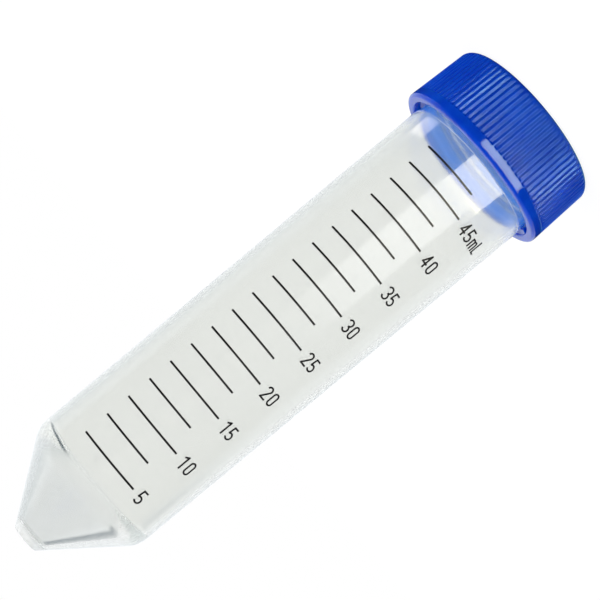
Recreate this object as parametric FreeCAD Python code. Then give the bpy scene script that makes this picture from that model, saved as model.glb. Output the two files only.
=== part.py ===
import FreeCAD, Part
import math
import os

from FreeCAD import Vector

# 50 ml conical centrifuge tube with a ribbed screw cap. All sizes are in millimetres.
#
# Every piece is drawn upright first: the tip of the cone is at height 0 and the cap is on
# top. An empty capped tube stands by itself only on the flat top of its cap, so the
# finished pieces are turned over: that top lies on Z = 0 and the tip points up. The
# printed scale faces -Y. A bearing is an angle round the tube, in degrees, counted from
# the front towards the reader's right when the cap is up.

# Tube
tube_length = 115.3  # tip to mouth
tip_radius = 2.8  # flat end of the cone
tip_round = 0.5
cone_height = 14.7
shoulder_round = 5.5  # outside corner between cone and barrel
barrel_radius_low = 13.92  # outside, at the cone
barrel_radius_high = 14.55  # outside, at the ledge
barrel_wall = 1.06
tip_floor = 2.0
inner_tip_radius = 3.05  # the cone's wall thickens from here to the inside shoulder
inner_tip_round = 0.8
inner_cone_height = 17.0  # tip to the inside shoulder
inner_shoulder_round = 0.8
neck_length = 11.3  # mouth down to the ledge where the barrel steps in to the neck
ledge_step = 0.25
ledge_round = 0.2
mouth_round = 0.3

# Thread: a ridge round the neck, and one inside the cap that runs between its turns
thread_pitch = 3.2
thread_depth = 0.95
thread_base = 1.7  # width of the neck's ridge at the neck
thread_lean = 0.45  # how far each flank leans in over the depth
thread_below_mouth = 2.6  # mouth to the middle of the neck's last turn
neck_thread_turns = 1.6
cap_thread_turns = 1.25
thread_flank_clearance = 0.3
thread_crest_clearance = 0.4
thread_root_sink = 0.25  # how deep each ridge is rooted in its wall

# Cap and its sealing liner
rim_gap = 0.6  # ledge to the cap's rim
rim_radius = 17.5
rim_round = 0.6
rim_inner_round = 0.3
ceiling_round = 0.15  # inside corner beside the liner
rim_band = 2.1  # smooth band below the ribs
cap_top_radius = 17.0  # the skirt narrows towards the top
cap_top_round = 1.6
cap_top_wall = 2.0
rib_count = 92
rib_depth = 0.45
rib_crest_flat = 0.16
rib_bulge = 0.1  # how far each rib's flank swells out of a straight line
liner_thickness = 1.2
liner_side_clearance = 0.25
bead_reach = 0.2  # how far the retaining bead covers the liner's edge
bead_height = 0.7
bead_clearance = 0.3  # liner to bead

# Printed scale
ink_thickness = 0.06
mark_width = 0.38
first_mark_height = 21.1
mark_volume = 2500.0  # cubic millimetres from one mark to the next
bare_top = 4.0  # least length of bare barrel between the last mark and the ledge
mark_left_bearing = -32.7
long_mark_bearing = 22.5
short_mark_bearing = 14.4
volume_per_number = 5  # millilitres between numbered marks
number_gap = 1.2  # end of a long mark to the cell of its first digit
digit_height = 2.85
digit_width = 1.45
digit_stroke = 0.34
digit_advance = 1.95
small_letter_height = 2.05
letter_m_width = 1.8
letter_m_advance = 2.05
letter_l_width = 1.1
letter_l_advance = 1.4

# Worked out from the sizes above
ledge_height = tube_length - neck_length
neck_radius = barrel_radius_high - ledge_step
skirt_bore = neck_radius + thread_depth + thread_crest_clearance
cap_rim_height = ledge_height + rim_gap
ceiling_height = tube_length + liner_thickness
overall_length = ceiling_height + cap_top_wall
liner_radius = skirt_bore - liner_side_clearance


def barrel_radius(height):
    """Outside radius of the drafted barrel."""
    draft = (barrel_radius_high - barrel_radius_low) / (ledge_height - cone_height)
    return barrel_radius_low + draft * (height - cone_height)


def bore_radius(height):
    """Inside radius of the drafted barrel."""
    return barrel_radius(height) - barrel_wall


def rounded_face(corners):
    """Face in the XZ plane from (radius, height, corner round) corners, in order."""
    points = [Vector(radius, 0, height) for radius, height, _ in corners]
    edges = []
    ends = []
    for index, (_, _, corner_round) in enumerate(corners):
        corner = points[index]
        back = (points[index - 1] - corner).normalize()
        ahead = (points[(index + 1) % len(points)] - corner).normalize()
        if corner_round == 0:
            ends.append((corner, corner))
            continue
        half = back.getAngle(ahead) / 2
        setback = corner_round / math.tan(half)
        inward = (back + ahead).normalize()
        middle = corner + inward * (corner_round / math.sin(half) - corner_round)
        start = corner + back * setback
        end = corner + ahead * setback
        edges.append(Part.Arc(start, middle, end).toShape())
        ends.append((start, end))
    for index, (_, leaving) in enumerate(ends):
        arriving = ends[(index + 1) % len(ends)][0]
        if leaving.distanceToPoint(arriving) > 1e-7:
            edges.append(Part.LineSegment(leaving, arriving).toShape())
    return Part.Face(Part.Wire(Part.__sortEdges__(edges)))


def turned(corners, start=0.0, sweep=360.0):
    """Solid of revolution about the tube's axis."""
    axis_point = Vector(0, 0, 0)
    face = rounded_face(corners)
    face.rotate(axis_point, Vector(0, 0, 1), start)
    return face.revolve(axis_point, Vector(0, 0, 1), sweep)


def thread_ridge(root_radius, crest_radius, base_width, middle_low, turns, start):
    """Helical ridge whose section narrows from the root radius to the crest radius."""
    outward = math.copysign(1, crest_radius - root_radius)
    slope = thread_lean / thread_depth
    sunk_radius = root_radius - outward * thread_root_sink
    sunk_half = base_width / 2 + slope * thread_root_sink
    crest_half = base_width / 2 - slope * abs(crest_radius - root_radius)
    section = Part.makePolygon(
        [
            Vector(sunk_radius, 0, -sunk_half),
            Vector(crest_radius, 0, -crest_half),
            Vector(crest_radius, 0, crest_half),
            Vector(sunk_radius, 0, sunk_half),
            Vector(sunk_radius, 0, -sunk_half),
        ]
    )
    path = Part.makeHelix(thread_pitch, turns * thread_pitch, root_radius)
    ridge = Part.Wire(path.Edges).makePipeShell([section], True, True)
    ridge.translate(Vector(0, 0, middle_low))
    ridge.rotate(Vector(0, 0, 0), Vector(0, 0, 1), start)
    return ridge


def neck_thread_low():
    """Height of the middle of the neck thread's first turn."""
    return tube_length - thread_below_mouth - neck_thread_turns * thread_pitch


def make_tube_body():
    """Tube with its cone, drafted barrel, neck and outside thread, in one moulding."""
    shell = turned(
        [
            (0, 0, 0),
            (tip_radius, 0, tip_round),
            (barrel_radius_low, cone_height, shoulder_round),
            (barrel_radius_high, ledge_height, ledge_round),
            (neck_radius, ledge_height, 0),
            (neck_radius, tube_length, mouth_round),
            (bore_radius(tube_length), tube_length, mouth_round),
            (bore_radius(inner_cone_height), inner_cone_height, inner_shoulder_round),
            (inner_tip_radius, tip_floor, inner_tip_round),
            (0, tip_floor, 0),
        ]
    )
    ridge = thread_ridge(
        neck_radius,
        neck_radius + thread_depth,
        thread_base,
        neck_thread_low(),
        neck_thread_turns,
        0,
    )
    return shell.fuse(ridge)


def cap_skin_radius(height):
    """Radius of the cap's outer skin, over the crests of its ribs."""
    rise = (height - cap_rim_height) / (overall_length - cap_rim_height)
    return rim_radius + (cap_top_radius - rim_radius) * rise


def rib_groove():
    """Cutter for the groove between two ribs, at the +X side of the cap."""
    low = cap_rim_height + rim_band
    high = overall_length + rib_depth
    crest = cap_skin_radius(low)
    half_width = math.pi * crest / rib_count - rib_crest_flat / 2
    flank = math.hypot(rib_depth, half_width)
    middle_depth = rib_depth / 2 - rib_bulge * half_width / flank
    middle_across = half_width / 2 - rib_bulge * rib_depth / flank

    def at(depth, across):
        # the groove's lower end is a ramp, so each point starts higher as it lies deeper
        return Vector(crest - depth, across, low + depth)

    bottom = at(rib_depth, 0)
    left = at(0, -half_width)
    right = at(0, half_width)
    clear_left = at(-rib_depth, -half_width)
    clear_right = at(-rib_depth, half_width)
    edges = [
        Part.Arc(left, at(middle_depth, -middle_across), bottom).toShape(),
        Part.Arc(bottom, at(middle_depth, middle_across), right).toShape(),
        Part.LineSegment(right, clear_right).toShape(),
        Part.LineSegment(clear_right, clear_left).toShape(),
        Part.LineSegment(clear_left, left).toShape(),
    ]
    run = Vector(cap_skin_radius(high) - crest, 0, high - low)
    return Part.Face(Part.Wire(edges)).extrude(run)


def make_screw_cap():
    """Screw cap with its ribbed skirt, inside thread and liner bead, in one moulding."""
    bead_top = tube_length - bead_clearance
    bead_radius = liner_radius - bead_reach
    bead_ramp = skirt_bore - bead_radius
    shell = turned(
        [
            (0, ceiling_height, 0),
            (skirt_bore, ceiling_height, ceiling_round),
            (skirt_bore, bead_top, 0),
            (bead_radius, bead_top - bead_ramp / 2, 0),
            (bead_radius, bead_top - bead_height + bead_ramp / 2, 0),
            (skirt_bore, bead_top - bead_height, 0),
            (skirt_bore, cap_rim_height, rim_inner_round),
            (rim_radius, cap_rim_height, rim_round),
            (cap_top_radius, overall_length, cap_top_round),
            (0, overall_length, 0),
        ]
    )
    groove = rib_groove()
    grooves = []
    for index in range(rib_count):
        copy = groove.copy()
        copy.rotate(Vector(0, 0, 0), Vector(0, 0, 1), index * 360 / rib_count)
        grooves.append(copy)
    ribbed = shell.cut(Part.makeCompound(grooves))
    slope = thread_lean / thread_depth
    ridge_gap = thread_pitch - thread_base - 2 * thread_flank_clearance
    base_width = ridge_gap + 2 * slope * thread_crest_clearance + 2 * slope * thread_depth
    ridge = thread_ridge(
        skirt_bore,
        skirt_bore - thread_depth,
        base_width,
        neck_thread_low() - thread_pitch / 2,
        cap_thread_turns,
        0,
    )
    return ribbed.fuse(ridge)


def make_liner():
    """Thin sealing disc held between the cap's ceiling and the tube's mouth."""
    liner = Part.makeCylinder(liner_radius, liner_thickness)
    liner.translate(Vector(0, 0, tube_length))
    return liner


def mark_heights():
    """Heights of the scale's marks: the drafted bore holds one step more at each."""
    heights = []
    height = first_mark_height
    while height < ledge_height - bare_top:
        heights.append(height)
        step = 0
        for _ in range(3):
            area = math.pi * bore_radius(heights[-1] + step / 2) ** 2
            step = mark_volume / area
        height = heights[-1] + step
    return heights


def is_numbered(index):
    """Every other mark is long and has a number."""
    return index % 2 == 0


def ink_section(low, high):
    """Corners of a thin layer on the barrel between two heights."""
    return [
        (barrel_radius(low), low, 0),
        (barrel_radius(low) + ink_thickness, low, 0),
        (barrel_radius(high) + ink_thickness, high, 0),
        (barrel_radius(high), high, 0),
    ]


def make_scale_marks():
    """Printed lines of the scale, long and short in turn."""
    marks = []
    for index, height in enumerate(mark_heights()):
        end = long_mark_bearing if is_numbered(index) else short_mark_bearing
        section = ink_section(height - mark_width / 2, height + mark_width / 2)
        marks.append(turned(section, mark_left_bearing - 90, end - mark_left_bearing))
    return Part.makeCompound(marks)


def bar(x1, y1, x2, y2):
    """Straight pen stroke between two points of a character's cell."""
    start = Vector(x1, y1, 0)
    end = Vector(x2, y2, 0)
    along = (end - start).normalize()
    side = Vector(-along.y, along.x, 0) * (digit_stroke / 2)
    corners = [start + side, start - side, end - side, end + side, start + side]
    return Part.Face(Part.makePolygon(corners))


def bow(x, y, radius, start, end):
    """Round pen stroke about a centre, from one angle to a larger one, in degrees."""

    def at(distance, angle):
        turn = math.radians(angle)
        return Vector(x + distance * math.cos(turn), y + distance * math.sin(turn), 0)

    inner = radius - digit_stroke / 2
    outer = radius + digit_stroke / 2
    middle = (start + end) / 2
    edges = [
        Part.Arc(at(outer, start), at(outer, middle), at(outer, end)).toShape(),
        Part.LineSegment(at(outer, end), at(inner, end)).toShape(),
        Part.Arc(at(inner, end), at(inner, middle), at(inner, start)).toShape(),
        Part.LineSegment(at(inner, start), at(outer, start)).toShape(),
    ]
    return Part.Face(Part.Wire(edges))


def pen_strokes(character):
    """Strokes of one character, centred on its cell, for a round-ended plain letter."""
    top = (digit_height - digit_stroke) / 2
    side = (digit_width - digit_stroke) / 2
    outside = top + digit_stroke / 2
    if character == "0":
        return [
            bow(0, top - side, side, 0, 180),
            bow(0, side - top, side, 180, 360),
            bar(-side, side - top, -side, top - side),
            bar(side, side - top, side, top - side),
        ]
    if character == "1":
        stem = side * 0.3
        flag = top * 0.62
        return [bar(stem, -outside, stem, outside), bar(stem, top, -side, flag)]
    if character == "2":
        turn = math.radians(-30)
        hook_x = side * math.cos(turn)
        hook_y = top - side + side * math.sin(turn)
        return [
            bow(0, top - side, side, -30, 172),
            bar(hook_x, hook_y, -side, -top),
            bar(-side - digit_stroke / 2, -top, side + digit_stroke / 2, -top),
        ]
    if character == "3":
        bowl = top / 2
        return [bow(0, bowl, bowl, -90, 160), bow(0, -bowl, bowl, -160, 90)]
    if character == "4":
        stem = side * 0.5
        beam = -top * 0.42
        return [
            bar(stem, -outside, stem, outside),
            bar(stem, top, -side, beam),
            bar(-side - digit_stroke / 2, beam, side + digit_stroke / 2, beam),
        ]
    if character == "5":
        bowl = top * 0.53
        centre_x = side - bowl
        turn = math.radians(140)
        start_x = centre_x + bowl * math.cos(turn)
        start_y = bowl - top + bowl * math.sin(turn)
        return [
            bow(centre_x, bowl - top, bowl, -150, 140),
            bar(start_x, start_y, -side * 0.8, top),
            bar(-side * 0.8 - digit_stroke / 2, top, side, top),
        ]
    if character == "m":
        spread = (letter_m_width - digit_stroke) / 2
        arch = spread / 2
        spring = small_letter_height - outside - digit_stroke / 2 - arch
        return [
            bar(-spread, -outside, -spread, spring + arch + digit_stroke / 2),
            bow(-arch, spring, arch, 0, 180),
            bar(0, -outside, 0, spring),
            bow(arch, spring, arch, 0, 180),
            bar(spread, -outside, spread, spring),
        ]
    stem = (digit_stroke - letter_l_width) / 2
    return [bar(stem, -outside, stem, outside), bar(stem, -top, -stem, -top)]


def advance(character):
    """Width of a character's cell."""
    return {"m": letter_m_advance, "L": letter_l_advance}.get(character, digit_advance)


def make_scale_numbers():
    """Printed numbers beside the long marks, and the unit beside the highest one."""
    depth = 2 * barrel_radius_high
    heights = mark_heights()
    stamps = {}
    numbers = []
    for index, height in enumerate(heights):
        if not is_numbered(index):
            continue
        text = str(volume_per_number * (index // 2 + 1))
        if index + 2 >= len(heights):
            text += "mL"
        radius = barrel_radius(height)
        layer = turned(ink_section(height - digit_height, height + digit_height))
        distance = number_gap
        for character in text:
            if character not in stamps:
                strokes = pen_strokes(character)
                outline = strokes[0].fuse(strokes[1:]).removeSplitter()
                stamps[character] = outline.extrude(Vector(0, 0, depth))
            distance += advance(character) / 2
            bearing = long_mark_bearing + math.degrees(distance / radius)
            distance += advance(character) / 2
            stamp = stamps[character].copy()
            stamp.rotate(Vector(0, 0, 0), Vector(1, 0, 0), 90)
            stamp.translate(Vector(0, 0, height))
            stamp.rotate(Vector(0, 0, 0), Vector(0, 0, 1), bearing)
            numbers.extend(layer.common(stamp).Solids)
    return Part.makeCompound(numbers)


def stand_on_cap(shape):
    """Turn a piece over, so that the cap's top lies on Z = 0."""
    shape.rotate(Vector(0, 0, 0), Vector(0, 1, 0), 180)
    shape.translate(Vector(0, 0, overall_length))
    return shape


def main():
    """Write one file for each piece."""
    os.makedirs("parts", exist_ok=True)
    pieces = {
        "tube_body": make_tube_body,
        "screw_cap": make_screw_cap,
        "cap_liner": make_liner,
        "scale_marks": make_scale_marks,
        "scale_numbers": make_scale_numbers,
    }
    for name, make in pieces.items():
        shape = stand_on_cap(make())
        shape.exportStep(f"parts/{name}.step")
        box = shape.BoundBox
        print(name, len(shape.Solids), shape.isValid(), round(shape.Volume, 1), box)


main()
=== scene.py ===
"""Looks of a capped 50 ml conical tube that stands upside down on its screw cap.

Everything is in metres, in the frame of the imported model: the cap's flat top lies on Z = 0,
the tip of the cone points up and the printed scale faces -Y.
"""
import logging
import math
from collections.abc import Callable
from dataclasses import dataclass, field
from enum import Enum
from typing import Any

import bmesh
import bpy
from mathutils import Matrix, Vector


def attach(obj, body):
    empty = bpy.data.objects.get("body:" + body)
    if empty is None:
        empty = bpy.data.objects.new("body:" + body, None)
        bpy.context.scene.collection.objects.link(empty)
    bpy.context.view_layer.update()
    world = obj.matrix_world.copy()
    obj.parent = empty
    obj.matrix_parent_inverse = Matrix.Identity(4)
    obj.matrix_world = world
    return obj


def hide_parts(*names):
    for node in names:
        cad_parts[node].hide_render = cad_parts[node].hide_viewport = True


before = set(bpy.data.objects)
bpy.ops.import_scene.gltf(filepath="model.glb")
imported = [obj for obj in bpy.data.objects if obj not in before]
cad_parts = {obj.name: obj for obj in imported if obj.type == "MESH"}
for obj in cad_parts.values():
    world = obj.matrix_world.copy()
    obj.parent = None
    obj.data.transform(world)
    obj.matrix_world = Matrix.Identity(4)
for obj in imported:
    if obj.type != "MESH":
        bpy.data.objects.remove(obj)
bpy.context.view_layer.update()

log = logging.getLogger("conical_tube")

MM = 0.001

Colour = tuple[float, float, float]
Triple = tuple[float, float, float]
Span = tuple[float, float]
Corner = tuple[float, float, float]
Row = tuple[float, float]

WHITE: Colour = (1.0, 1.0, 1.0)
BLACK: Colour = (0.0, 0.0, 0.0)
GRAIN_RANGE: Span = (0.3, 0.7)
RAY_KINDS = ("Camera", "Glossy", "Transmission")
SAME_PLACE = 1e-4


class Slot(Enum):
    """Material slots of the record."""

    TUBE = "tube"
    CAP = "cap"
    LINER = "liner"
    INK = "ink"


class Reach(Enum):
    """What a lamp lights: matt colour or mirrored gloss."""

    MATT = "matt"
    GLOSS = "gloss"


class NodeSheet:
    """Node tree of one material or world, built link by link."""

    def __init__(self, owner: Any) -> None:
        """Clear the owner's node tree.

        Args:
            owner: Material or world whose nodes are written.
        """
        owner.use_nodes = True
        self.tree = owner.node_tree
        self.tree.nodes.clear()

    def add(self, kind: str, **settings: Any) -> bpy.types.Node:
        """Add a node and set its plain properties.

        Args:
            kind: Blender's name of the node type.
            settings: Properties to set on the node.

        Returns:
            The new node.
        """
        node = self.tree.nodes.new(kind)
        for name, value in settings.items():
            setattr(node, name, value)
        return node

    def link(self, source: bpy.types.NodeSocket, target: bpy.types.NodeSocket) -> None:
        """Join an output socket to an input socket."""
        self.tree.links.new(source, target)

    def place(self, stretch: Triple) -> bpy.types.NodeSocket:
        """Object coordinates, stretched.

        Args:
            stretch: Factor along each axis; a small one makes long streaks.

        Returns:
            Socket with the coordinates.
        """
        place = self.add("ShaderNodeTexCoord")
        scaled = self.add("ShaderNodeVectorMath", operation="MULTIPLY")
        scaled.inputs[1].default_value = stretch
        self.link(place.outputs["Object"], scaled.inputs[0])
        return scaled.outputs["Vector"]

    def height(self) -> bpy.types.NodeSocket:
        """Height above the cap's flat top."""
        return self.split(self.place((1, 1, 1)))["Z"]

    def from_axis(self) -> bpy.types.NodeSocket:
        """Distance from the tube's axis.

        Returns:
            Socket with the distance in metres.
        """
        radius = self.add("ShaderNodeVectorMath", operation="LENGTH")
        self.link(self.place((1, 1, 0)), radius.inputs[0])
        return radius.outputs["Value"]

    def split(self, vector: bpy.types.NodeSocket) -> bpy.types.NodeOutputs:
        """Split a vector.

        Args:
            vector: Socket with the vector.

        Returns:
            Sockets X, Y and Z.
        """
        parts = self.add("ShaderNodeSeparateXYZ")
        self.link(vector, parts.inputs[0])
        return parts.outputs

    def level(self, direction: bpy.types.NodeSocket) -> bpy.types.NodeSocket:
        """Lay a direction level.

        Args:
            direction: Socket with the direction.

        Returns:
            Socket with the level direction, of length 1.
        """
        flat = self.add("ShaderNodeVectorMath", operation="MULTIPLY")
        flat.inputs[1].default_value = (1, 1, 0)
        self.link(direction, flat.inputs[0])
        bearing = self.add("ShaderNodeVectorMath", operation="NORMALIZE")
        self.link(flat.outputs["Vector"], bearing.inputs[0])
        return bearing.outputs["Vector"]

    def towards(self, direction: bpy.types.NodeSocket, aim: Triple) -> bpy.types.NodeSocket:
        """How far a direction leans towards an aim.

        Args:
            direction: Socket with the direction.
            aim: Direction that it is measured along.

        Returns:
            Socket with their dot product.
        """
        nearness = self.add("ShaderNodeVectorMath", operation="DOT_PRODUCT")
        nearness.inputs[1].default_value = aim
        self.link(direction, nearness.inputs[0])
        return nearness.outputs["Value"]

    def grain(
        self, per_metre: float, detail: float = 3.0, stretch: Triple = (1.0, 1.0, 1.0)
    ) -> bpy.types.NodeSocket:
        """Cloudy grain.

        Args:
            per_metre: Number of its clouds in a metre.
            detail: Finer layers added to it.
            stretch: Factor along each axis.

        Returns:
            Socket with the grain, from 0 to 1.
        """
        noise = self.add("ShaderNodeTexNoise", noise_dimensions="3D")
        noise.inputs["Scale"].default_value = per_metre
        noise.inputs["Detail"].default_value = detail
        self.link(self.place(stretch), noise.inputs["Vector"])
        return noise.outputs["Fac"]

    def spread(
        self, source: bpy.types.NodeSocket, start: Span, end: Span, smooth: bool = False
    ) -> bpy.types.NodeSocket:
        """Map a value from one range to another.

        Args:
            source: Socket with the value.
            start: Range of the value.
            end: Range that it is mapped to.
            smooth: Ease in and out at the ends.

        Returns:
            Socket with the mapped value.
        """
        ramp = self.add("ShaderNodeMapRange")
        ramp.interpolation_type = "SMOOTHSTEP" if smooth else "LINEAR"
        for name, value in zip(("From Min", "From Max", "To Min", "To Max"), (*start, *end)):
            ramp.inputs[name].default_value = value
        self.link(source, ramp.inputs["Value"])
        return ramp.outputs["Result"]

    def join(
        self, operation: str, first: bpy.types.NodeSocket, second: bpy.types.NodeSocket
    ) -> bpy.types.NodeSocket:
        """Join two values.

        Args:
            operation: Blender's name of the operation.
            first: First value.
            second: Second value.

        Returns:
            Socket with the result.
        """
        node = self.add("ShaderNodeMath", operation=operation)
        self.link(first, node.inputs[0])
        self.link(second, node.inputs[1])
        return node.outputs[0]

    def blend(
        self,
        share: bpy.types.NodeSocket,
        first: "Colour | bpy.types.NodeSocket",
        second: "Colour | bpy.types.NodeSocket",
    ) -> bpy.types.NodeSocket:
        """Blend two colours.

        Args:
            share: Socket with the second colour's share.
            first: Colour at a share of 0.
            second: Colour at a share of 1.

        Returns:
            Socket with the blended colour.
        """
        mix = self.add("ShaderNodeMix", data_type="RGBA")
        self.link(share, mix.inputs["Factor"])
        for name, colour in (("A", first), ("B", second)):
            if isinstance(colour, tuple):
                mix.inputs[name].default_value = rgba(colour)
            else:
                self.link(colour, mix.inputs[name])
        return mix.outputs["Result"]

    def relief(self, height: bpy.types.NodeSocket, depth: float) -> bpy.types.NodeSocket:
        """Fine relief of a surface.

        Args:
            height: Socket with the height, from 0 to 1.
            depth: Height in metres that 1 stands for.

        Returns:
            Socket with the normal.
        """
        bump = self.add("ShaderNodeBump")
        bump.inputs["Strength"].default_value = 1.0
        bump.inputs["Distance"].default_value = depth
        self.link(height, bump.inputs["Height"])
        return bump.outputs["Normal"]

    def mix_shaders(
        self,
        share: bpy.types.NodeSocket,
        first: bpy.types.NodeSocket,
        second: bpy.types.NodeSocket,
    ) -> bpy.types.NodeSocket:
        """Mix two shaders.

        Args:
            share: Socket with the second shader's share.
            first: Shader at a share of 0.
            second: Shader at a share of 1.

        Returns:
            Socket with the mixed shader.
        """
        mix = self.add("ShaderNodeMixShader")
        self.link(share, mix.inputs[0])
        self.link(first, mix.inputs[1])
        self.link(second, mix.inputs[2])
        return mix.outputs[0]

    def finish(self, shader: bpy.types.NodeSocket, kind: str = "Material") -> None:
        """Send a shader to the output of a material or world."""
        output = self.add(f"ShaderNodeOutput{kind}")
        self.link(shader, output.inputs["Surface"])


def rgba(colour: Colour) -> tuple[float, float, float, float]:
    """Colour with full opacity."""
    return (*colour, 1.0)


@dataclass(frozen=True)
class MilkyPolypropylene:
    """Natural polypropylene: clear enough to see through, with a mottled milky haze."""

    tint: Colour = (0.905, 0.915, 0.895)
    cone_tint: Colour = (0.86, 0.875, 0.87)
    cone_start: Span = (102.1 * MM, 107.1 * MM)
    tip_start: Span = (116.1 * MM, 117.6 * MM)
    tip_haze: float = 0.45
    haze: Span = (0.02, 0.045)
    mottles_per_metre: float = 900.0
    roughness: Span = (0.10, 0.13)
    clouds_per_metre: float = 160.0
    cone_polish: float = 0.35
    ripples_per_metre: float = 60.0
    ripple_stretch: Triple = (1.0, 1.0, 0.3)
    ripple: float = 0.004 * MM
    most_turns: int = 2
    refraction: float = 1.49
    coat: float = 0.5
    coat_roughness: float = 0.05
    shadow: Colour = (0.95, 0.96, 0.95)

    def material(self) -> bpy.types.Material:
        """Build the material.

        Returns:
            The finished material.
        """
        material = bpy.data.materials.new("milky_polypropylene")
        sheet = NodeSheet(material)
        height = sheet.height()
        wall = sheet.add("ShaderNodeBsdfPrincipled")
        cone = sheet.spread(height, self.cone_start, (0, 1), smooth=True)
        sheet.link(sheet.blend(cone, self.tint, self.cone_tint), wall.inputs["Base Color"])
        wall.inputs["IOR"].default_value = self.refraction
        wall.inputs["Coat Weight"].default_value = self.coat
        wall.inputs["Coat Roughness"].default_value = self.coat_roughness
        mottle = sheet.grain(self.mottles_per_metre, detail=5)
        clear = sheet.spread(mottle, GRAIN_RANGE, (1 - self.haze[0], 1 - self.haze[1]))
        milky = sheet.spread(height, self.tip_start, (1, 1 - self.tip_haze), smooth=True)
        sheet.link(sheet.join("MULTIPLY", clear, milky), wall.inputs["Transmission Weight"])
        cloud = sheet.grain(self.clouds_per_metre, detail=2)
        frosting = sheet.spread(cloud, GRAIN_RANGE, self.roughness)
        polish = sheet.spread(cone, (0, 1), (1, self.cone_polish))
        sheet.link(sheet.join("MULTIPLY", frosting, polish), wall.inputs["Roughness"])
        flow = sheet.grain(self.ripples_per_metre, detail=0, stretch=self.ripple_stretch)
        sheet.link(sheet.relief(flow, self.ripple), wall.inputs["Normal"])
        sheet.finish(self.let_through(sheet, wall.outputs[0]))
        return material

    def let_through(
        self, sheet: NodeSheet, wall: bpy.types.NodeSocket
    ) -> bpy.types.NodeSocket:
        """Let light straight through where it is trapped in the wall, and let shadows be pale.

        Args:
            sheet: Node tree of the material.
            wall: Shader of the wall.

        Returns:
            Socket with the finished shader.
        """
        path = sheet.add("ShaderNodeLightPath")
        straight = sheet.add("ShaderNodeBsdfRefraction")
        straight.inputs["Color"].default_value = rgba(self.shadow)
        straight.inputs["IOR"].default_value = 1.0
        straight.inputs["Roughness"].default_value = 0.0
        turns = (self.most_turns - 1, self.most_turns)
        trapped = sheet.spread(path.outputs["Glossy Depth"], turns, (0, 1))
        body = sheet.mix_shaders(trapped, wall, straight.outputs[0])
        pale = sheet.add("ShaderNodeBsdfTransparent")
        pale.inputs["Color"].default_value = rgba(self.shadow)
        return sheet.mix_shaders(path.outputs["Is Shadow Ray"], body, pale.outputs[0])


@dataclass(frozen=True)
class BluePolyethylene:
    """Ultramarine moulded polyethylene with a satin gloss, a little translucent, with a painted
    glow in its bore.
    """

    deep: Colour = (0.001, 0.046, 0.46)
    light: Colour = (0.003, 0.070, 0.56)
    clouds_per_metre: float = 220.0
    # Painted glow: colour of the light that the bore emits, seen only through the clear wall
    glow: Colour = (0.0, 0.30, 1.0)
    painted_glow_level: float = 0.62
    bore_edge: Span = (15.8 * MM, 15.6 * MM)
    roughness: Span = (0.07, 0.11)
    rib_roughness: float = 0.28
    rib_end: Span = (11.6 * MM, 11.9 * MM)
    pores_per_metre: float = 4200.0
    pore_depth: float = 0.0004 * MM
    specular: float = 0.3
    scatter: Triple = (0.2, 0.6, 1.0)
    scatter_reach: float = 3.0 * MM

    def material(self) -> bpy.types.Material:
        """Build the material.

        Returns:
            The finished material.
        """
        material = bpy.data.materials.new("blue_polyethylene")
        sheet = NodeSheet(material)
        skin = sheet.add("ShaderNodeBsdfPrincipled")
        cloud = sheet.grain(self.clouds_per_metre, detail=3)
        share = sheet.spread(cloud, GRAIN_RANGE, (0, 1))
        sheet.link(sheet.blend(share, self.deep, self.light), skin.inputs["Base Color"])
        self.paint_glow_in_bore(sheet, skin)
        pores = sheet.grain(self.pores_per_metre, detail=2)
        satin = sheet.spread(sheet.height(), self.rib_end, (self.rib_roughness, 0))
        gloss = sheet.spread(pores, GRAIN_RANGE, self.roughness)
        sheet.link(sheet.join("MAXIMUM", gloss, satin), skin.inputs["Roughness"])
        sheet.link(sheet.relief(pores, self.pore_depth), skin.inputs["Normal"])
        skin.inputs["Specular IOR Level"].default_value = self.specular
        skin.inputs["Subsurface Weight"].default_value = 1.0
        skin.inputs["Subsurface Radius"].default_value = self.scatter
        skin.inputs["Subsurface Scale"].default_value = self.scatter_reach
        sheet.finish(skin.outputs[0])
        return material

    def paint_glow_in_bore(self, sheet: NodeSheet, skin: bpy.types.Node) -> None:
        """Paint a glow on the bore: emission seen only through the clear wall, like plastic lit
        from behind.

        Args:
            sheet: Node tree of the material.
            skin: Its main shader.
        """
        # Painted glow: the bore emits light only for rays that came through the clear wall
        inner = sheet.spread(sheet.from_axis(), self.bore_edge, (0, 1))
        path = sheet.add("ShaderNodeLightPath")
        painted_glow_share = sheet.spread(path.outputs["Is Transmission Ray"], (0, 1), (0, self.painted_glow_level))
        skin.inputs["Emission Color"].default_value = rgba(self.glow)
        sheet.link(sheet.join("MULTIPLY", inner, painted_glow_share), skin.inputs["Emission Strength"])


@dataclass(frozen=True)
class PaleLiner:
    """Soft pale sealing disc."""

    base: Colour = (0.62, 0.68, 0.80)
    light: Colour = (0.68, 0.74, 0.85)
    roughness: Span = (0.45, 0.58)
    cells_per_metre: float = 1800.0
    cell_depth: float = 0.01 * MM

    def material(self) -> bpy.types.Material:
        """Build the material.

        Returns:
            The finished material.
        """
        material = bpy.data.materials.new("pale_liner")
        sheet = NodeSheet(material)
        shader = sheet.add("ShaderNodeBsdfPrincipled")
        cell = sheet.grain(self.cells_per_metre, detail=3)
        share = sheet.spread(cell, GRAIN_RANGE, (0, 1))
        sheet.link(sheet.blend(share, self.base, self.light), shader.inputs["Base Color"])
        sheet.link(sheet.spread(cell, GRAIN_RANGE, self.roughness), shader.inputs["Roughness"])
        sheet.link(sheet.relief(cell, self.cell_depth), shader.inputs["Normal"])
        sheet.finish(shader.outputs[0])
        return material


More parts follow.
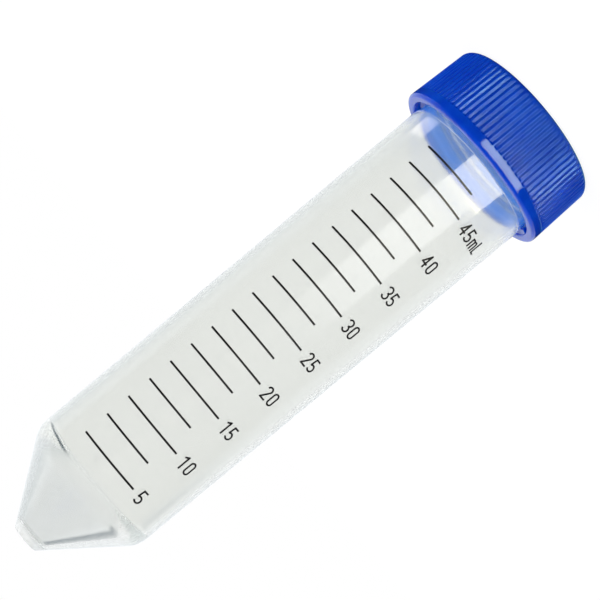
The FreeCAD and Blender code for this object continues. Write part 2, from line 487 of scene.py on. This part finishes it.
@dataclass(frozen=True)
class PrintedInk:
    """Black printing ink, a little uneven in depth."""

    base: Colour = (0.004, 0.004, 0.005)
    thin: Colour = (0.012, 0.012, 0.014)
    thin_places: Span = (0.55, 0.75)
    roughness: Span = (0.30, 0.42)
    spots_per_metre: float = 3200.0
    spot_depth: float = 0.004 * MM

    def material(self) -> bpy.types.Material:
        """Build the material.

        Returns:
            The finished material.
        """
        material = bpy.data.materials.new("printed_ink")
        sheet = NodeSheet(material)
        shader = sheet.add("ShaderNodeBsdfPrincipled")
        spots = sheet.grain(self.spots_per_metre, detail=3)
        share = sheet.spread(spots, self.thin_places, (0, 1))
        sheet.link(sheet.blend(share, self.base, self.thin), shader.inputs["Base Color"])
        sheet.link(sheet.spread(spots, GRAIN_RANGE, self.roughness), shader.inputs["Roughness"])
        sheet.link(sheet.relief(spots, self.spot_depth), shader.inputs["Normal"])
        sheet.finish(shader.outputs[0])
        return material


def dress(piece: bpy.types.Object, material: bpy.types.Material) -> None:
    """Give a piece its finish.

    Args:
        piece: CAD node or new piece.
        material: Its new material.
    """
    piece.data.materials.clear()
    piece.data.materials.append(material)


def rounded_outline(corners: list[Corner], arc_step: float = 7.0) -> list[Row]:
    """Open outline through corners, each with its own rounding.

    Args:
        corners: Radius, height and rounding of each corner.
        arc_step: Most degrees between two points of a rounding.

    Returns:
        Radius and height of each point of the outline.
    """
    rows: list[Row] = []
    for index, (radius, height, rounding) in enumerate(corners):
        corner = Vector((radius, height))
        if rounding == 0:
            rows.append((radius, height))
            continue
        back = (Vector(corners[index - 1][:2]) - corner).normalized()
        ahead = (Vector(corners[index + 1][:2]) - corner).normalized()
        half = back.angle(ahead) / 2
        centre = corner + (back + ahead).normalized() * (rounding / math.sin(half))
        setback = rounding / math.tan(half)
        start = (corner + back * setback - centre).normalized()
        end = (corner + ahead * setback - centre).normalized()
        steps = max(3, math.ceil(math.degrees(start.angle(end)) / arc_step))
        for step in range(steps + 1):
            rows.append(tuple(centre + start.slerp(end, step / steps) * rounding))
    return rows


def spaced_rows(
    outline: list[Row], spacing: Callable[[Row, Row], float], guard: float = 0.15
) -> list[Row]:
    """Outline with extra rows along its longer runs.

    Args:
        outline: Radius and height of each point.
        spacing: Gives the most millimetres between two rows of a run.
        guard: Distance from a run's ends to its first and last extra rows.

    Returns:
        Radius and height of each row of the mesh.
    """
    rows = [outline[0]]
    for start, end in zip(outline, outline[1:]):
        run = math.dist(start, end)
        shares = [1.0]
        if run > 4 * guard:
            edge = guard / run
            count = math.ceil((run - 2 * guard) / spacing(start, end))
            inner = [edge + (1 - 2 * edge) * step / count for step in range(count + 1)]
            shares = [*inner, 1.0]
        for share in shares:
            rows.append(tuple(a + (b - a) * share for a, b in zip(start, end)))
    return rows


@dataclass(frozen=True)
class Lathe:
    """Turns a section about the axis into one mesh.

    Heights are in millimetres from the tip of the cone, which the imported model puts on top.
    """

    name: str
    columns: int
    crease: float
    overall: float = 118.5

    def turn(self, rows: list[Row], reach: Callable[[float, Row], float]) -> bpy.types.Object:
        """Turn the section, with a radius of its own at each place.

        Args:
            rows: Radius and height of each row, from the axis round to the axis.
            reach: Gives the radius from the share of a full turn and the row.

        Returns:
            The turned piece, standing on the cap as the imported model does.
        """
        work = bmesh.new()
        rings = []
        for row in rows:
            z = (self.overall - row[1]) * MM
            if row[0] == 0:
                rings.append([work.verts.new((0, 0, z))] * self.columns)
                continue
            ring = []
            for column in range(self.columns):
                share = column / self.columns
                radius = reach(share, row) * MM
                angle = 2 * math.pi * share
                place = (-radius * math.cos(angle), radius * math.sin(angle), z)
                ring.append(work.verts.new(place))
            rings.append(ring)
        for lower, upper in zip(rings, rings[1:]):
            for column in range(self.columns):
                after = (column + 1) % self.columns
                corners = (lower[column], lower[after], upper[after], upper[column])
                work.faces.new(dict.fromkeys(corners))
        bmesh.ops.recalc_face_normals(work, faces=work.faces)
        mesh = bpy.data.meshes.new(self.name)
        work.to_mesh(mesh)
        work.free()
        mesh.shade_smooth()
        mesh.set_sharp_from_angle(angle=math.radians(self.crease))
        piece = bpy.data.objects.new(self.name, mesh)
        bpy.context.scene.collection.objects.link(piece)
        return piece


@dataclass(frozen=True)
class Thread:
    """Ridge of a right-handed screw thread, in millimetres from the tip of the cone."""

    low: float
    turns: float
    base: float
    pitch: float = 3.2
    depth: float = 0.95
    lean: float = 0.45

    def rise(self, turn: float, height: float) -> float:
        """How far the ridge stands out of its wall.

        Args:
            turn: Share of a full turn, from 0 to 1.
            height: Height above the tip.

        Returns:
            Distance in millimetres.
        """
        share = 0.0
        for lap in range(math.ceil(self.turns)):
            if turn + lap <= self.turns:
                away = abs(height - self.low - (turn + lap) * self.pitch)
                share = max(share, (self.base / 2 - away) / self.lean)
        share = min(share, 1.0)
        return self.depth * share * share * (3 - 2 * share)


@dataclass
class TubeBody:
    """Moulded tube: flat-ended cone, drafted barrel, ledge, neck and outside thread.

    Sizes are in millimetres, and heights are counted from the tip of the cone.
    """

    length: float = 115.3
    tip_radius: float = 2.8
    tip_round: float = 0.5
    cone_height: float = 14.7
    shoulder_round: float = 5.5
    barrel_radii: Span = (13.92, 14.55)
    barrel_wall: float = 1.06
    tip_floor: float = 2.0
    inner_tip_radius: float = 3.05
    inner_tip_round: float = 0.8
    inner_cone_height: float = 17.0
    inner_shoulder_round: float = 0.8
    neck_length: float = 11.3
    ledge_step: float = 0.25
    ledge_round: float = 0.2
    mouth_round: float = 0.3
    thread: Thread = Thread(low=107.58, turns=1.6, base=1.7)
    columns: int = 256
    thread_row: float = 0.1
    wall_row: float = 3.0
    finish: MilkyPolypropylene = field(default_factory=MilkyPolypropylene)

    @property
    def ledge(self) -> float:
        """Height of the ledge where the barrel steps in to the neck."""
        return self.length - self.neck_length

    @property
    def neck_radius(self) -> float:
        """Outside radius of the neck."""
        return self.barrel_radii[1] - self.ledge_step

    @property
    def draft(self) -> float:
        """Growth of the barrel's radius for each millimetre of height."""
        low, high = self.barrel_radii
        return (high - low) / (self.ledge - self.cone_height)

    def bore_radius(self, height: float) -> float:
        """Inside radius of the barrel at a height."""
        outside = self.barrel_radii[0] + self.draft * (height - self.cone_height)
        return outside - self.barrel_wall

    def outline(self) -> list[Row]:
        """Section of the wall, from the tip up the outside and down the inside.

        Returns:
            Radius and height of each point.
        """
        inner_shoulder = self.inner_cone_height
        return rounded_outline(
            [
                (0, 0, 0),
                (self.tip_radius, 0, self.tip_round),
                (self.barrel_radii[0], self.cone_height, self.shoulder_round),
                (self.barrel_radii[1], self.ledge, self.ledge_round),
                (self.neck_radius, self.ledge, 0),
                (self.neck_radius, self.length, self.mouth_round),
                (self.bore_radius(self.length), self.length, self.mouth_round),
                (self.bore_radius(inner_shoulder), inner_shoulder, self.inner_shoulder_round),
                (self.inner_tip_radius, self.tip_floor, self.inner_tip_round),
                (0, self.tip_floor, 0),
            ]
        )

    def on_neck(self, row: Row) -> bool:
        """Whether a row lies on the neck's outside."""
        return abs(row[0] - self.neck_radius) < SAME_PLACE

    def reach(self, turn: float, row: Row) -> float:
        """Radius at a share of a full turn, with the thread raised from the neck."""
        raised = self.thread.rise(turn, row[1]) if self.on_neck(row) else 0.0
        return row[0] + raised

    def spacing(self, start: Row, end: Row) -> float:
        """Most millimetres between two rows of a run."""
        threaded = self.on_neck(start) and self.on_neck(end)
        return self.thread_row if threaded else self.wall_row

    def build(self) -> bpy.types.Object:
        """Turn the wall about the axis.

        Returns:
            The tube.
        """
        rows = spaced_rows(self.outline(), self.spacing)
        tube = Lathe("moulded_tube", self.columns, crease=35).turn(rows, self.reach)
        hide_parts("tube_body")
        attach(tube, "tube")
        log.info("tube: %d rows of %d, %.1f mm long", len(rows), self.columns, self.length)
        return tube

    def dress(self, tube: bpy.types.Object) -> None:
        """Give the tube its milky clear finish."""
        dress(tube, self.finish.material())


@dataclass
class ScrewCap:
    """Blue screw cap: ribbed skirt, smooth band at its rim, sealing bead and inside thread.

    Sizes are in millimetres, and heights are counted from the tip of the cone.
    """

    top: float = 118.5
    ceiling: float = 116.5
    rim: float = 104.6
    radii: Span = (17.5, 17.0)
    bore: float = 15.65
    top_round: float = 1.6
    rim_round: float = 0.6
    rim_inner_round: float = 0.3
    ceiling_round: float = 0.15
    bead_radius: float = 15.2
    bead: tuple[float, float, float, float] = (115.0, 114.775, 114.525, 114.3)
    ribs: int = 92
    rib_slope: float = 54.0
    rib_start: float = 106.7
    thread: Thread = Thread(low=105.98, turns=1.25, base=2.18)
    columns_per_rib: int = 12
    fine_row: float = 0.07
    thread_row: float = 0.25
    wall_row: float = 3.0
    finish: BluePolyethylene = field(default_factory=BluePolyethylene)

    def skirt_radius(self, height: float) -> float:
        """Radius of the drafted skirt over the crests of its ribs."""
        low, high = self.radii
        return low + (high - low) * (height - self.rim) / (self.top - self.rim)

    @property
    def rib_round(self) -> float:
        """Radius of the rounding that a rib's crest and the grooves beside it share."""
        quarter_pitch = math.pi * self.radii[0] / (2 * self.ribs)
        return quarter_pitch / math.sin(math.radians(self.rib_slope))

    @property
    def rib_depth(self) -> float:
        """Depth of the grooves between the ribs."""
        return 2 * self.rib_round * (1 - math.cos(math.radians(self.rib_slope)))

    def groove_depth(self, turn: float) -> float:
        """Depth of the skin below the crests.

        Args:
            turn: Share of a full turn, from 0 to 1.

        Returns:
            Depth in millimetres.
        """
        pitch = 2 * math.pi * self.radii[0] / self.ribs
        away = abs((turn * self.ribs + 0.5) % 1 - 0.5) * pitch
        from_end = min(away, pitch / 2 - away)
        sunk = self.rib_round - math.sqrt(self.rib_round**2 - from_end**2)
        return self.rib_depth - sunk if away < pitch / 4 else sunk

    def outline(self) -> list[Row]:
        """Section of the cap, from the middle of its top round to its ceiling.

        Returns:
            Radius and height of each point.
        """
        ramp_top = self.rib_start + self.rib_depth
        first, second, third, last = self.bead
        return rounded_outline(
            [
                (0, self.top, 0),
                (self.radii[1], self.top, self.top_round),
                (self.skirt_radius(ramp_top), ramp_top, 0),
                (self.skirt_radius(self.rib_start), self.rib_start, 0),
                (self.radii[0], self.rim, self.rim_round),
                (self.bore, self.rim, self.rim_inner_round),
                (self.bore, last, 0),
                (self.bead_radius, third, 0),
                (self.bead_radius, second, 0),
                (self.bore, first, 0),
                (self.bore, self.ceiling, self.ceiling_round),
                (0, self.ceiling, 0),
            ],
            arc_step=10,
        )

    def in_bore(self, row: Row) -> bool:
        """Whether a row lies on the wall of the bore."""
        return abs(row[0] - self.bore) < SAME_PLACE

    def spacing(self, start: Row, end: Row) -> float:
        """Most millimetres between two rows of a run.

        Args:
            start: Row at the run's start.
            end: Row at its end.

        Returns:
            A fine step on the ribs' ends and on the thread, and a wide one elsewhere.
        """
        if self.in_bore(start) and self.in_bore(end):
            return self.thread_row
        low, high = sorted((start[1], end[1]))
        ramp_top = self.rib_start + self.rib_depth
        within = low >= self.rib_start - SAME_PLACE and high <= ramp_top + SAME_PLACE
        return self.fine_row if within and start[0] > self.bore else self.wall_row

    def reach(self, turn: float, row: Row) -> float:
        """Radius at a place: grooves between the ribs outside, the thread inside.

        Args:
            turn: Share of a full turn, from 0 to 1.
            row: Radius and height of the plain skin.

        Returns:
            Radius in millimetres.
        """
        radius, height = row
        if self.in_bore(row):
            return radius - self.thread.rise(turn, height)
        if radius < self.bore or height < self.rib_start:
            return radius
        depth = min(self.groove_depth(turn), height - self.rib_start)
        return min(radius, self.skirt_radius(height) - depth)

    def build(self) -> bpy.types.Object:
        """Turn the cap about the axis.

        Returns:
            The cap.
        """
        rows = spaced_rows(self.outline(), self.spacing)
        columns = self.ribs * self.columns_per_rib
        cap = Lathe("ribbed_cap", columns, crease=60).turn(rows, self.reach)
        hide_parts("screw_cap")
        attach(cap, "cap")
        log.info("cap: %d rows of %d, %d ribs", len(rows), columns, self.ribs)
        return cap

    def dress(self, cap: bpy.types.Object) -> None:
        """Give the cap its blue finish."""
        dress(cap, self.finish.material())


@dataclass
class SealingLiner:
    """Soft disc between the cap and the tube's mouth. Sizes are in millimetres."""

    node: str = "cap_liner"
    radius: float = 15.4
    thickness: float = 1.2
    finish: PaleLiner = field(default_factory=PaleLiner)

    def dress(self) -> None:
        """Give the liner its pale finish."""
        dress(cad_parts[self.node], self.finish.material())
        log.info("liner: %.1f mm thick, %.1f mm in radius", self.thickness, self.radius)


@dataclass
class PrintedScale:
    """Marks and numbers printed on the barrel. Sizes are in millimetres."""

    nodes: tuple[str, str] = ("scale_marks", "scale_numbers")
    layer: float = 0.06
    finish: PrintedInk = field(default_factory=PrintedInk)

    def dress(self) -> None:
        """Give the marks and the numbers their ink."""
        ink = self.finish.material()
        for node in self.nodes:
            dress(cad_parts[node], ink)
            log.info("%s: a layer %.2f mm thick", node, self.layer)


@dataclass(frozen=True)
class Lamp:
    """Soft rectangular lamp that faces the object.

    Its angles are in degrees as the object sees them: azimuth from -Y towards -X, and height
    above the horizon. A lamp below the horizon shines on the ribs through the floor's opening.
    """

    name: str
    azimuth: Span
    height: Span
    radiance: float
    reach: Reach
    colour: Colour = WHITE
    distance: float = 0.6

    def build(self) -> None:
        """Hang the lamp, unseen by the camera and through the clear wall."""
        light = bpy.data.lights.new(self.name, "AREA")
        light.shape = "RECTANGLE"
        wide, tall = (math.radians(b - a) for a, b in (self.azimuth, self.height))
        light.size = 2 * self.distance * math.tan(wide / 2)
        light.size_y = 2 * self.distance * math.tan(tall / 2)
        light.energy = self.radiance * math.pi * light.size * light.size_y
        light.color = self.colour
        lamp = bpy.data.objects.new(self.name, light)
        bpy.context.scene.collection.objects.link(lamp)
        turn, rise = (math.radians((a + b) / 2) for a, b in (self.azimuth, self.height))
        towards = Vector(
            (-math.sin(turn) * math.cos(rise), -math.cos(turn) * math.cos(rise), math.sin(rise))
        )
        lamp.location = towards * self.distance
        lamp.rotation_euler = (-towards).to_track_quat("-Z", "Y").to_euler()
        lamp.visible_camera = False
        lamp.visible_transmission = False
        lamp.visible_diffuse = self.reach is Reach.MATT
        lamp.visible_glossy = self.reach is Reach.GLOSS


@dataclass(frozen=True)
class LightSheet:
    """Glowing fan on the floor round the cap, seen only in the gloss of the plastic.

    Its azimuth is in degrees from -Y towards -X, and its reach in millimetres from the axis.
    """

    name: str
    azimuth: Span
    reach: Span
    near: float
    far: float
    edge: float
    colour: Colour = WHITE
    steps: int = 24
    lift: float = 0.01 * MM

    def build(self) -> None:
        """Lay the sheet, unseen by the camera, by matt surfaces and through the clear wall."""
        fan = bpy.data.objects.new(self.name, self.mesh())
        bpy.context.scene.collection.objects.link(fan)
        fan.location.z = self.lift
        fan.data.materials.append(self.material())
        fan.visible_camera = False
        fan.visible_diffuse = False
        fan.visible_transmission = False
        fan.visible_volume_scatter = False
        fan.visible_shadow = False

    def mesh(self) -> bpy.types.Mesh:
        """Make the fan, with each point's share of the way across it.

        Returns:
            The fan's mesh.
        """
        start, end = (math.radians(angle) for angle in self.azimuth)
        shares = [step / self.steps for step in range(self.steps + 1)]
        turns = [start + (end - start) * share for share in shares]
        points = [
            (-math.sin(turn) * radius * MM, -math.cos(turn) * radius * MM, 0.0)
            for turn in turns
            for radius in self.reach
        ]
        faces = [(2 * k, 2 * k + 2, 2 * k + 3, 2 * k + 1) for k in range(self.steps)]
        mesh = bpy.data.meshes.new(self.name)
        mesh.from_pydata(points, [], faces)
        across = mesh.attributes.new("across", "FLOAT", "POINT")
        across.data.foreach_set("value", [share for share in shares for _ in self.reach])
        return mesh

    def material(self) -> bpy.types.Material:
        """Build the glow, which fades with the distance and at the fan's two sides.

        Returns:
            The finished material.
        """
        material = bpy.data.materials.new(self.name)
        sheet = NodeSheet(material)
        glow = sheet.add("ShaderNodeEmission")
        glow.inputs["Color"].default_value = rgba(self.colour)
        reach = tuple(radius * MM for radius in self.reach)
        level = sheet.spread(sheet.from_axis(), reach, (self.near, self.far))
        across = sheet.add("ShaderNodeAttribute", attribute_name="across").outputs["Fac"]
        rise = sheet.spread(across, (0, self.edge), (0, 1), smooth=True)
        fall = sheet.spread(across, (1 - self.edge, 1), (1, 0), smooth=True)
        level = sheet.join("MULTIPLY", level, sheet.join("MULTIPLY", rise, fall))
        sheet.link(level, glow.inputs["Strength"])
        sheet.finish(glow.outputs[0])
        return material


@dataclass(frozen=True)
class FarGlow:
    """Far upright strip light below the cap's horizon, seen only in the gloss of its ribs.

    Its bearing and half width are in degrees, from -Y towards -X.
    """

    bearing: float
    half_width: float
    edge: float
    level: float
    colour: Colour

    def share(self, sheet: NodeSheet, flat: bpy.types.NodeSocket) -> bpy.types.NodeSocket:
        """How much of a level direction lies in the strip.

        Args:
            sheet: Node tree of the world.
            flat: Socket with the level direction.

        Returns:
            Socket with the share, from 0 to 1.
        """
        turn = math.radians(self.bearing)
        nearness = sheet.towards(flat, (-math.sin(turn), -math.cos(turn), 0))
        reach = (self.half_width + self.edge, self.half_width)
        span = tuple(math.cos(math.radians(angle)) for angle in reach)
        return sheet.spread(nearness, span, (0, 1), smooth=True)

    @property
    def light(self) -> Colour:
        """Colour at the strip's level."""
        return tuple(self.level * part for part in self.colour)


@dataclass(frozen=True)
class ConeShade:
    """Dark part of the room that the cone's lower edge bends into view.

    It is seen only through both walls. Its limits are parts of a direction of length 1: its
    lean along slant, and its X.
    """

    slant: Triple = (0.9, 0.0, 1.0)
    upper_limit: Span = (0.05, -0.02)
    lower_limit: Span = (-0.22, -0.15)
    near_limit: Span = (-0.18, -0.25)
    far_limit: Span = (-0.57, -0.50)
    walls: Span = (2, 3)
    colour: Colour = (0.04, 0.08, 0.11)

    def share(
        self,
        sheet: NodeSheet,
        direction: bpy.types.NodeSocket,
        walls_passed: bpy.types.NodeSocket,
    ) -> bpy.types.NodeSocket:
        """How much of a direction lies in the dark part.

        Args:
            sheet: Node tree of the world.
            direction: Socket with the direction.
            walls_passed: Socket with the number of surfaces that the light was bent at.

        Returns:
            Socket with the share, from 0 to 1.
        """
        lean = sheet.towards(direction, self.slant)
        aside = sheet.split(direction)["X"]
        share = sheet.spread(walls_passed, self.walls, (0, 1))
        for source, limit in (
            (lean, self.upper_limit),
            (lean, self.lower_limit),
            (aside, self.near_limit),
            (aside, self.far_limit),
        ):
            part = sheet.spread(source, limit, (0, 1), smooth=True)
            share = sheet.join("MULTIPLY", share, part)
        return share


@dataclass(frozen=True)
class Floor:
    """White polished floor that keeps the object's shadow.

    It mirrors the room in gloss, except near the cap, where gloss sees the room below it.
    """

    size: float = 6.0
    drop: float = 0.02 * MM
    paint: Colour = (0.8, 0.8, 0.8)
    glow: float = 1.08
    glow_share: float = 0.85
    polish: float = 0.12
    open_ring: Span = (49 * MM, 50 * MM)
    dark_ring: Span = (70 * MM, 85 * MM)
    dark_mirror: Colour = (0.02, 0.02, 0.02)
    bright_mirror: Colour = (0.95, 0.95, 0.95)

    def build(self, grey_side: Span, grey: Colour) -> None:
        """Lay the floor.

        Args:
            grey_side: Part of X over which the floor turns grey, seen through the wall.
            grey: That grey.
        """
        half = self.size / 2
        mesh = bpy.data.meshes.new("floor")
        corners = [(-half, -half, 0), (half, -half, 0), (half, half, 0), (-half, half, 0)]
        mesh.from_pydata(corners, [], [(0, 1, 2, 3)])
        mesh.materials.append(self.material(grey_side, grey))
        floor = bpy.data.objects.new("floor", mesh)
        bpy.context.scene.collection.objects.link(floor)
        floor.location.z = -self.drop

    def material(self, grey_side: Span, grey: Colour) -> bpy.types.Material:
        """Build the floor's paint and polish.

        Args:
            grey_side: Part of X over which the floor turns grey, seen through the wall.
            grey: That grey.

        Returns:
            The finished material.
        """
        material = bpy.data.materials.new("white_floor")
        sheet = NodeSheet(material)
        path = sheet.add("ShaderNodeLightPath").outputs
        camera, glossy, through = (path[f"Is {kind} Ray"] for kind in RAY_KINDS)
        matt = sheet.add("ShaderNodeBsdfDiffuse")
        matt.inputs["Color"].default_value = rgba(self.paint)
        glow = sheet.add("ShaderNodeEmission")
        glow.inputs["Strength"].default_value = self.glow
        aside = sheet.split(sheet.level(sheet.place((1, 1, 1))))["X"]
        greyed = sheet.spread(aside, grey_side, (0, 1), smooth=True)
        greyed = sheet.join("MULTIPLY", greyed, through)
        sheet.link(sheet.blend(greyed, WHITE, grey), glow.inputs["Color"])
        seen = sheet.join("MAXIMUM", camera, through)
        seen = sheet.spread(seen, (0, 1), (0, self.glow_share))
        painted = sheet.mix_shaders(seen, matt.outputs[0], glow.outputs[0])
        radius = sheet.from_axis()
        mirror = sheet.add("ShaderNodeBsdfGlossy")
        mirror.inputs["Roughness"].default_value = self.polish
        clear = sheet.spread(radius, self.dark_ring, (0, 1), smooth=True)
        sheet.link(
            sheet.blend(clear, self.dark_mirror, self.bright_mirror), mirror.inputs["Color"]
        )
        opening = sheet.add("ShaderNodeBsdfTransparent").outputs[0]
        outside = sheet.spread(radius, self.open_ring, (0, 1))
        past_wall = sheet.spread(path["Transmission Depth"], (0, 1), (0, 1))
        closed = sheet.join("MAXIMUM", outside, past_wall)
        gloss = sheet.mix_shaders(closed, opening, mirror.outputs[0])
        glossy_only = sheet.join("GREATER_THAN", glossy, through)
        solid = sheet.mix_shaders(glossy_only, painted, gloss)
        inside = sheet.spread(closed, (0, 1), (1, 0))
        let_by = sheet.join("MULTIPLY", inside, path["Is Shadow Ray"])
        sheet.finish(sheet.mix_shaders(let_by, solid, opening))
        return material


@dataclass(frozen=True)
class Room:
    """White surroundings, dimmer as a light, and dark in front as the gloss mirrors them."""

    light: Colour = (0.85, 0.85, 0.85)
    front: Colour = (0.04, 0.04, 0.04)
    back: Colour = (0.92, 0.96, 1.0)
    front_to_back: Span = (0.0, 0.35)
    low: Colour = (0.02, 0.02, 0.02)
    low_start: Span = (-0.08, -0.15)
    horizon: Span = (0.0, -0.001)
    cone_shade: ConeShade = field(default_factory=ConeShade)
    glows: tuple[FarGlow, ...] = (
        FarGlow(118.0, 14.0, 12.0, 1.4, (0.85, 0.95, 1.0)),
        FarGlow(158.0, 15.0, 10.0, 0.5, (0.05, 1.0, 0.4)),
    )

    def build(self, grey_side: Span, grey: Colour) -> None:
        """Make the world.

        Args:
            grey_side: Part of X over which it turns grey, seen through the wall.
            grey: That grey.
        """
        world = bpy.data.worlds.new("surroundings")
        bpy.context.scene.world = world
        sheet = NodeSheet(world)
        path = sheet.add("ShaderNodeLightPath").outputs
        camera, glossy, through = (path[f"Is {kind} Ray"] for kind in RAY_KINDS)
        direction = sheet.add("ShaderNodeTexCoord").outputs["Generated"]
        parts = sheet.split(direction)
        aside = sheet.spread(parts["X"], grey_side, (0, 1), smooth=True)
        seen_through = sheet.blend(aside, WHITE, grey)
        shade = self.cone_shade.share(sheet, direction, path["Transmission Depth"])
        seen_through = sheet.blend(shade, seen_through, self.cone_shade.colour)
        underfoot = sheet.spread(parts["Z"], self.horizon, (0, 1))
        colour = sheet.blend(underfoot, self.light, BLACK)
        colour = sheet.blend(glossy, colour, self.mirrored(sheet, direction))
        colour = sheet.blend(through, colour, seen_through)
        colour = sheet.blend(camera, colour, WHITE)
        room = sheet.add("ShaderNodeBackground")
        room.inputs["Strength"].default_value = 1.0
        sheet.link(colour, room.inputs["Color"])
        sheet.finish(room.outputs[0], "World")

    def mirrored(
        self, sheet: NodeSheet, direction: bpy.types.NodeSocket
    ) -> bpy.types.NodeSocket:
        """Surroundings as the gloss mirrors them.

        Args:
            sheet: Node tree of the world.
            direction: Socket with the direction.

        Returns:
            Socket with their colour.
        """
        parts = sheet.split(direction)
        behind = sheet.spread(parts["Y"], self.front_to_back, (0, 1), smooth=True)
        flat = sheet.level(direction)
        low: Colour | bpy.types.NodeSocket = self.low
        for glow in self.glows:
            low = sheet.blend(glow.share(sheet, flat), low, glow.light)
        below = sheet.spread(parts["Z"], self.low_start, (0, 1))
        return sheet.blend(below, sheet.blend(behind, self.front, self.back), low)


@dataclass(frozen=True)
class ViewCamera:
    """Camera that looks slightly down on the tube and is rolled to lay it slanting.

    Its place is in millimetres. Right and up are the two axes of its picture.
    """

    place: Triple = (1.11, -294.61, 79.70)
    right: Triple = (-0.63874654, -0.067944, -0.76641142)
    up: Triple = (0.76941642, -0.05783634, -0.63612367)
    lens: float = 97.52
    sensor_width: float = 36.0

    def build(self) -> None:
        """Place the camera and make it the scene's own."""
        camera_data = bpy.data.cameras.new("camera")
        camera_data.lens = self.lens
        camera_data.sensor_width = self.sensor_width
        camera = bpy.data.objects.new("camera", camera_data)
        bpy.context.scene.collection.objects.link(camera)
        right, up = Vector(self.right), Vector(self.up)
        axes = Matrix((right, up, right.cross(up))).transposed()
        camera.matrix_world = Matrix.Translation(Vector(self.place) * MM) @ axes.to_4x4()
        bpy.context.scene.camera = camera


@dataclass
class Studio:
    """Floor, surroundings, soft lamps and the camera."""

    grey_side: Span = (0.1, 0.42)
    grey: Colour = (0.74, 0.77, 0.78)
    ground: Floor = field(default_factory=Floor)
    room: Room = field(default_factory=Room)
    lamps: tuple[Lamp, ...] = (
        Lamp("key", (-60, 0), (25, 65), 0.9, Reach.MATT),
        Lamp("top", (-90, 90), (70, 110), 0.3, Reach.GLOSS),
        Lamp("rib_strip", (0, 18), (-26, -4), 24.0, Reach.GLOSS, (0.54, 0.95, 1.0)),
    )
    sheets: tuple[LightSheet, ...] = (
        LightSheet("front_rim", (-14, 50), (50, 61), 13.5, 13.5, 0.02, (0.8, 1.0, 1.0)),
        LightSheet("front_near", (-12.5, 54), (63, 120), 8.6, 8.6, 0.02, (1.0, 0.92, 0.68)),
        LightSheet("front_far", (-18, 46), (120, 900), 2.4, 0.0, 0.12),
        LightSheet("left_far", (-112, -76), (80, 105), 4.0, 4.0, 0.2, (1.0, 0.92, 0.8)),
    )
    camera: ViewCamera = field(default_factory=ViewCamera)

    def build(self) -> None:
        """Make the floor, the surroundings, the lamps and the camera."""
        self.ground.build(self.grey_side, self.grey)
        self.room.build(self.grey_side, self.grey)
        for light in (*self.lamps, *self.sheets):
            light.build()
        self.camera.build()
        log.info("studio: %d lamps, %d light sheets", len(self.lamps), len(self.sheets))


def main() -> None:
    """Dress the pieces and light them."""
    logging.basicConfig(level=logging.INFO, format="%(message)s")
    bpy.context.scene.view_settings.view_transform = "Standard"
    tube = TubeBody()
    tube.dress(tube.build())
    cap = ScrewCap()
    cap.dress(cap.build())
    SealingLiner().dress()
    PrintedScale().dress()
    Studio().build()


if __name__ == "__main__":
    main()
